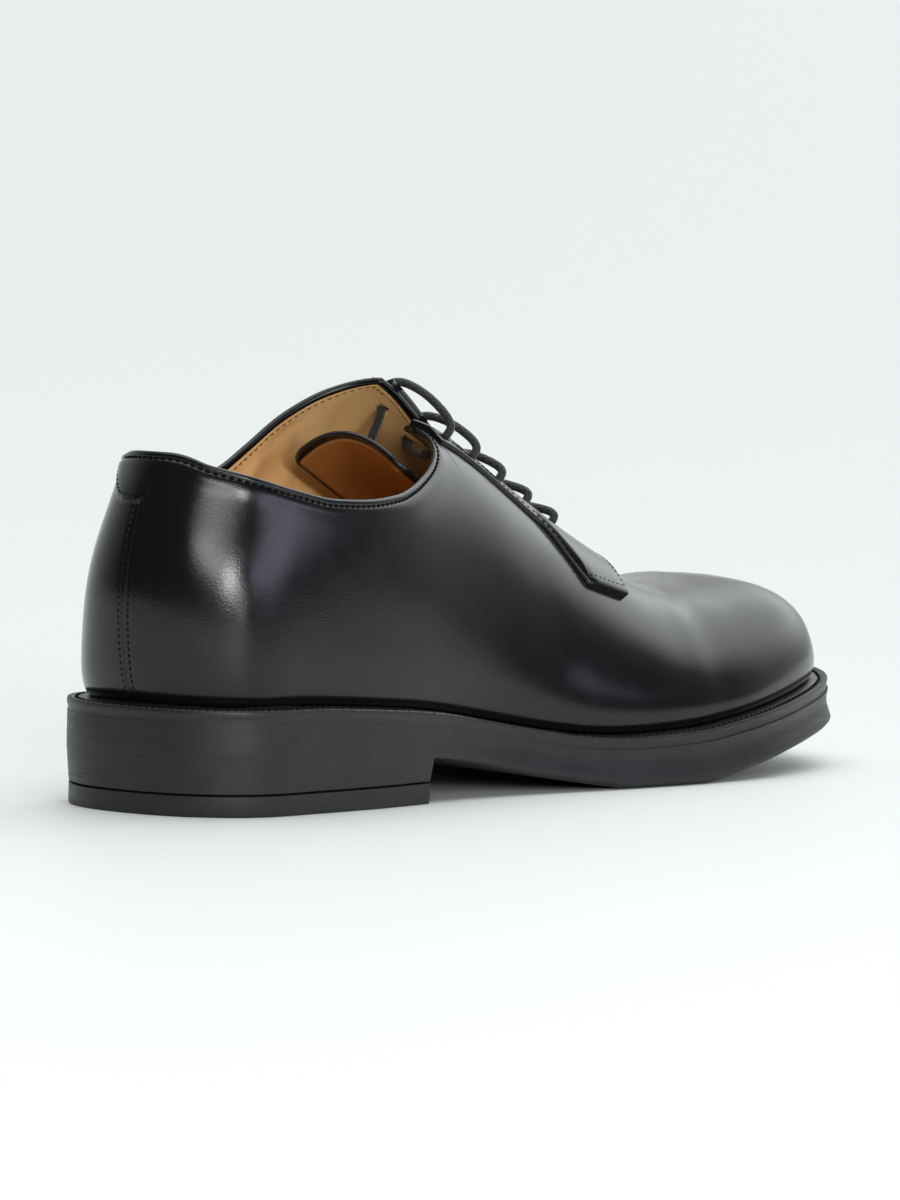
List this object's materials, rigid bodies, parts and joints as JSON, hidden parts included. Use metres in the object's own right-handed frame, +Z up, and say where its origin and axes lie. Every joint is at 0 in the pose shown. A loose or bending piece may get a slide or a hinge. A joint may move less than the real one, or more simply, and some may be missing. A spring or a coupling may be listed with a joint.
{
  "type": "derby shoe",
  "caption": "Right derby shoe: plain wholecut hollow upper, open lacing under square eyestay tabs, thick welted sole and stacked heel.",
  "frame": {"origin": "on the floor under the centre of the heel, on the top lift's flat face", "axes": "+Y towards the toe, +X towards the outer side of this right shoe, +Z up"},
  "size_m": [0.1074, 0.3019, 0.1168],
  "materials": {
    "upper_leather": "polished smooth black calf",
    "lining_leather": "matt natural tan lining leather",
    "sole_rubber": "satin black, fine lines round the edge",
    "lace_cord": "waxed round braid, matt black"
  },
  "bodies": {
    "root": {"outsole": "sole_rubber", "welt": "sole_rubber", "heel_stack": "sole_rubber", "heel_top_lift": "sole_rubber", "insole": "lining_leather", "upper": "upper_leather", "facing_outer": "upper_leather", "facing_inner": "upper_leather", "tongue": "upper_leather", "lace_bar_1": "lace_cord", "lace_bar_2": "lace_cord", "lace_bar_3": "lace_cord", "lace_bar_4": "lace_cord", "lace_bar_5": "lace_cord"}
  },
  "joints": []
}
